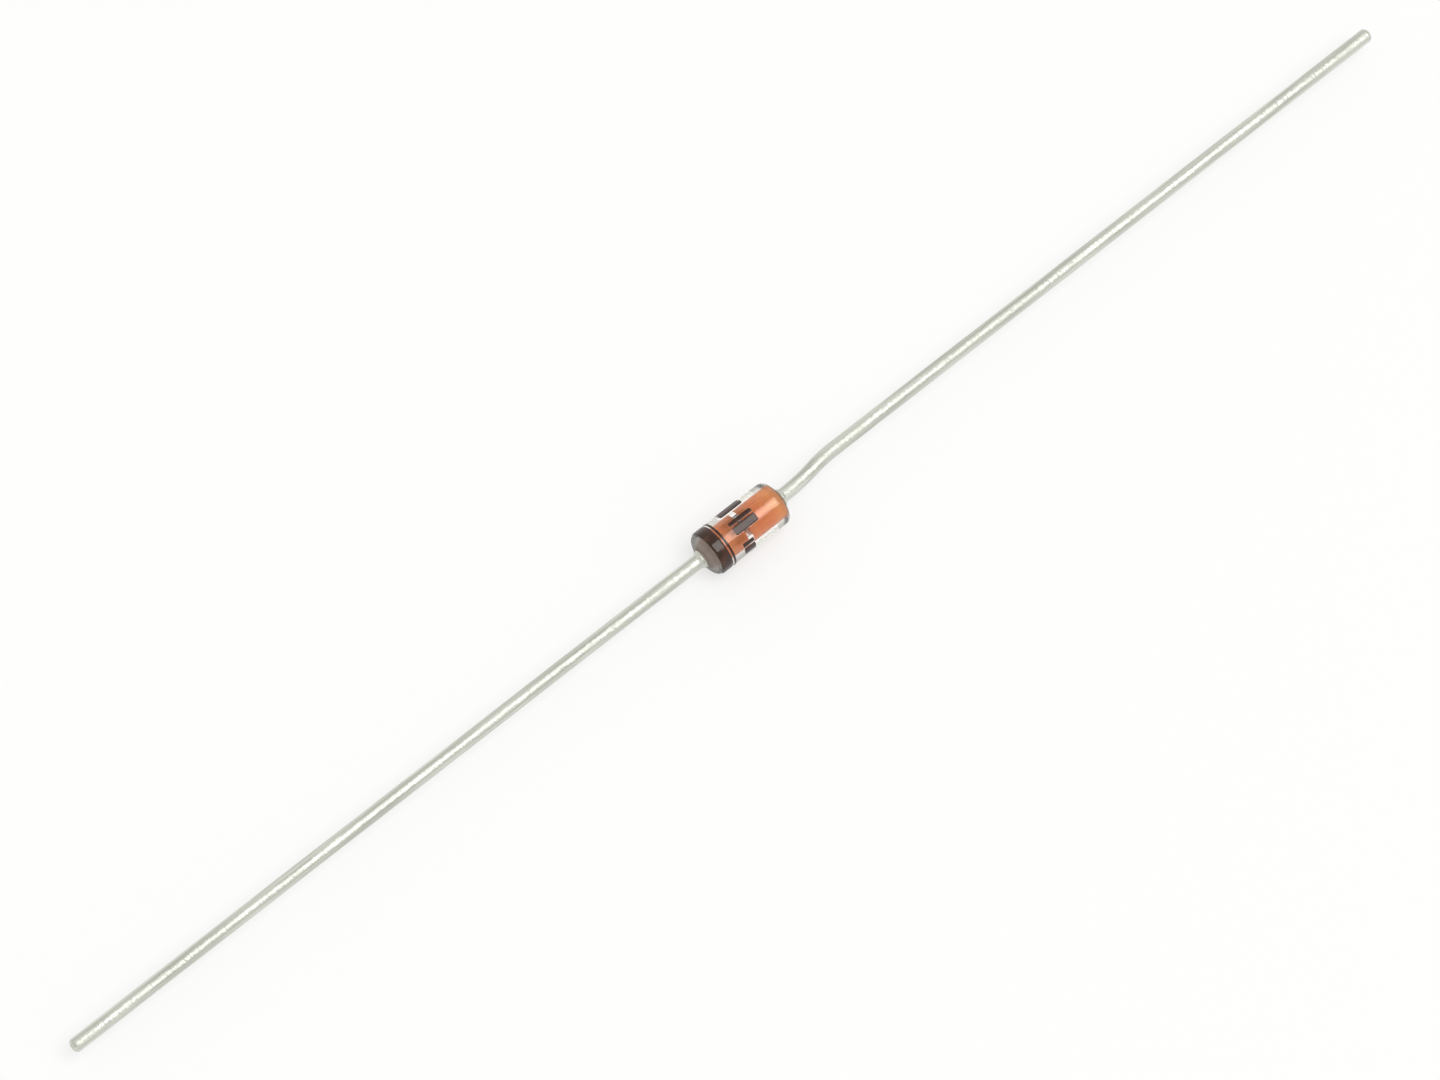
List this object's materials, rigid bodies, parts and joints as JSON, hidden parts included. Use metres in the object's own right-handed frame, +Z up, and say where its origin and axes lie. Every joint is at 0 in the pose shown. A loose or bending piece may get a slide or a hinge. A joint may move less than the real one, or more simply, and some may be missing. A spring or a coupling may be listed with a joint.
{
  "type": "zener diode",
  "caption": "Clear glass diode body with straight axial wire leads, a dark cathode band and copper-coloured studs seen through the glass; it holds a circuit's voltage steady.",
  "frame": {"origin": "on the plane that the banded end rests on, straight below the middle of the glass", "axes": "+X along the leads from the banded cathode end to the anode end, +Z up"},
  "size_m": [0.0625, 0.0018, 0.0018],
  "materials": {
    "sealing_glass": "polished",
    "copper_stud": "satin",
    "silicon": "polished",
    "silver": "satin",
    "tinned_wire": "satin",
    "dark_ink": "satin"
  },
  "bodies": {
    "root": {"glass_sleeve": "sealing_glass", "cathode_stud": "copper_stud", "anode_stud": "copper_stud", "silicon_die": "silicon", "contact_bump": "silver", "cathode_lead": "tinned_wire", "anode_lead": "tinned_wire", "cathode_band": "dark_ink", "type_mark": "dark_ink"}
  },
  "joints": []
}
